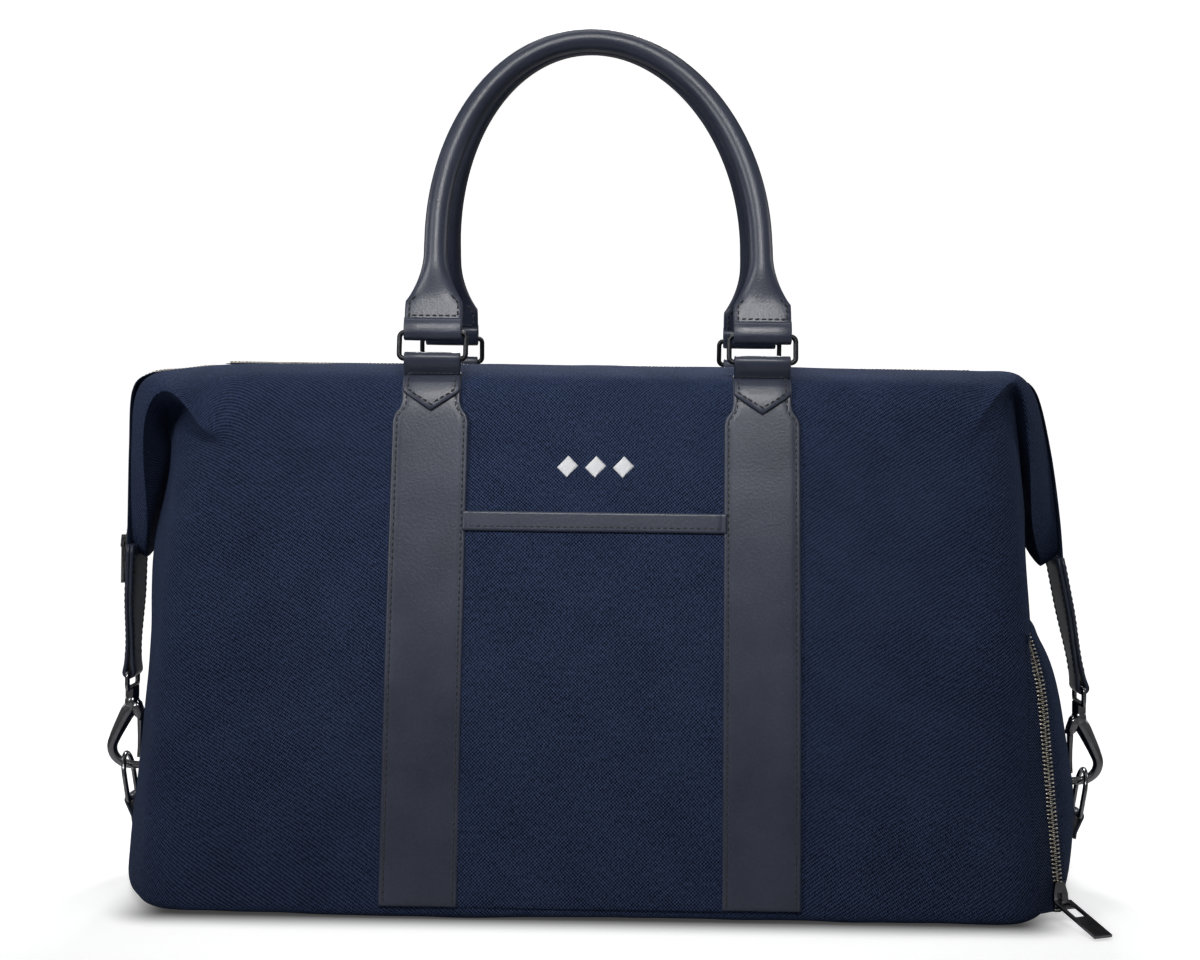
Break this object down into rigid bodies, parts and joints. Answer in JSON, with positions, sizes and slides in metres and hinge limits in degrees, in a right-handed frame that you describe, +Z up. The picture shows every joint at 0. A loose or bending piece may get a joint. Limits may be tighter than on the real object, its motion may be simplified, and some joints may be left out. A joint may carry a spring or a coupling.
{
  "type": "weekender bag",
  "caption": "Soft canvas weekender bag with rolled leather handles, wide leather straps, clipped folding corner wings, a front slip pocket and a zipped shoe pocket.",
  "frame": {"origin": "on the floor under the middle of the bag, at the centre foot's face", "axes": "+X to the right seen from the front, the front faces -Y, +Z up"},
  "size_m": [0.6112, 0.2662, 0.5158],
  "materials": {
    "canvas": "matte twill",
    "leather": "satin fine grain",
    "zip_tape": "matte herringbone",
    "zip_teeth": "antique nickel",
    "dark_metal": "polished black nickel",
    "thread": "satin stitch",
    "cord": "twisted cord",
    "board": "matte"
  },
  "bodies": {
    "bag": {"front_panel": "canvas", "rear_panel": "canvas", "left_end_panel": "canvas", "right_end_panel": "canvas", "left_gusset": "canvas", "right_gusset": "canvas", "base_panel": "canvas", "base_board": "board", "base_feet": "dark_metal", "front_top_panel": "canvas", "rear_top_panel": "canvas", "top_zip_tape": "zip_tape", "top_zip_teeth": "zip_teeth", "pocket_panel": "canvas", "pocket_binding": "leather", "embroidered_motif": "thread", "front_left_strap": "leather", "front_right_strap": "leather", "rear_left_strap": "leather", "rear_right_strap": "leather", "front_left_chape": "leather", "front_right_chape": "leather", "rear_left_chape": "leather", "rear_right_chape": "leather", "shoe_pocket_shell": "canvas", "shoe_zip_tape": "zip_tape", "shoe_zip_teeth": "zip_teeth", "left_keeper": "leather", "right_keeper": "leather"},
    "front_ring_pair": {"front_rings": "dark_metal"},
    "rear_ring_pair": {"rear_rings": "dark_metal"},
    "front_handle": {"front_handle_cover": "leather", "front_handle_core": "cord"},
    "rear_handle": {"rear_handle_cover": "leather", "rear_handle_core": "cord"},
    "left_wing": {"left_wing_panel": "canvas", "left_wing_zip_tape": "zip_tape", "left_wing_zip_teeth": "zip_teeth", "left_tab": "leather"},
    "left_eye": {"left_swivel_eye": "dark_metal"},
    "left_snap_hook": {"left_hook": "dark_metal", "left_gate_pin": "dark_metal"},
    "left_snap_gate": {"left_gate": "dark_metal"},
    "left_ring_d": {"left_d_ring": "dark_metal"},
    "right_wing": {"right_wing_panel": "canvas", "right_wing_zip_tape": "zip_tape", "right_wing_zip_teeth": "zip_teeth", "right_tab": "leather"},
    "right_eye": {"right_swivel_eye": "dark_metal"},
    "right_snap_hook": {"right_hook": "dark_metal", "right_gate_pin": "dark_metal"},
    "right_snap_gate": {"right_gate": "dark_metal"},
    "right_ring_d": {"right_d_ring": "dark_metal"},
    "main_slider": {"main_zip_slider": "dark_metal"},
    "main_pull": {"main_zip_pull": "dark_metal"},
    "shoe_slider": {"shoe_zip_slider": "dark_metal"},
    "shoe_pull": {"shoe_zip_pull": "dark_metal"}
  },
  "joints": [
    {"name": "front_rings_hinge", "type": "hinge", "parent": "bag", "child": "front_ring_pair", "pos_m": [0, -0.071, 0.3132], "axis": [1, 0, 0], "range_deg": [0, 40]},
    {"name": "front_handle_hinge", "type": "hinge", "parent": "front_ring_pair", "child": "front_handle", "pos_m": [0, -0.06846, 0.32839], "axis": [1, 0, 0], "range_deg": [0, 110]},
    {"name": "rear_rings_hinge", "type": "hinge", "parent": "bag", "child": "rear_ring_pair", "pos_m": [0, 0.071, 0.3132], "axis": [-1, 0, 0], "range_deg": [0, 40]},
    {"name": "rear_handle_hinge", "type": "hinge", "parent": "rear_ring_pair", "child": "rear_handle", "pos_m": [0, 0.06846, 0.32839], "axis": [-1, 0, 0], "range_deg": [0, 110]},
    {"name": "left_wing_fold", "type": "hinge", "parent": "bag", "child": "left_wing", "pos_m": [-0.272, 0, 0.291], "axis": [0, 1, 0], "range_deg": [0, 85]},
    {"name": "left_eye_rock", "type": "hinge", "parent": "left_wing", "child": "left_eye", "pos_m": [-0.2834, 0, 0.121], "axis": [0, 1, 0], "range_deg": [-1.5, 4]},
    {"name": "left_hook_swivel", "type": "hinge", "parent": "left_eye", "child": "left_snap_hook", "pos_m": [-0.2834, 0, 0.121], "axis": [0, 0, 1], "range_deg": [-25, 25]},
    {"name": "left_gate_hinge", "type": "hinge", "parent": "left_snap_hook", "child": "left_snap_gate", "pos_m": [-0.2782, 0, 0.0935], "axis": [0, 1, 0], "range_deg": [0, 10]},
    {"name": "left_d_ring_hinge", "type": "hinge", "parent": "bag", "child": "left_ring_d", "pos_m": [-0.2823, 0, 0.043], "axis": [0, -1, 0], "range_deg": [-6, 2]},
    {"name": "right_wing_fold", "type": "hinge", "parent": "bag", "child": "right_wing", "pos_m": [0.272, 0, 0.291], "axis": [0, -1, 0], "range_deg": [0, 85]},
    {"name": "right_eye_rock", "type": "hinge", "parent": "right_wing", "child": "right_eye", "pos_m": [0.295, 0, 0.1195], "axis": [0, -1, 0], "range_deg": [-1.5, 4]},
    {"name": "right_hook_swivel", "type": "hinge", "parent": "right_eye", "child": "right_snap_hook", "pos_m": [0.295, 0, 0.1195], "axis": [0, 0, 1], "range_deg": [-25, 25]},
    {"name": "right_gate_hinge", "type": "hinge", "parent": "right_snap_hook", "child": "right_snap_gate", "pos_m": [0.2898, 0, 0.092], "axis": [0, -1, 0], "range_deg": [0, 10]},
    {"name": "right_d_ring_hinge", "type": "hinge", "parent": "bag", "child": "right_ring_d", "pos_m": [0.2939, 0, 0.0415], "axis": [0, 1, 0], "range_deg": [-6, 2]},
    {"name": "main_zip_slide", "type": "slide", "parent": "left_wing", "child": "main_slider", "axis": [0.0785, 0, 0.9969], "range_m": [0, 0.07]},
    {"name": "main_pull_hinge", "type": "hinge", "parent": "main_slider", "child": "main_pull", "pos_m": [-0.28965, 0, 0.19878], "axis": [0, 1, 0], "range_deg": [0, 150]},
    {"name": "shoe_zip_slide", "type": "slide", "parent": "bag", "child": "shoe_slider", "axis": [-0.0716, 0.1264, 0.9894], "range_m": [0, 0.118]},
    {"name": "shoe_pull_hinge", "type": "hinge", "parent": "shoe_slider", "child": "shoe_pull", "pos_m": [0.26603, -0.10309, 0.01161], "axis": [-0.9394, -0.3419, -0.0243], "range_deg": [0, 75]}
  ]
}
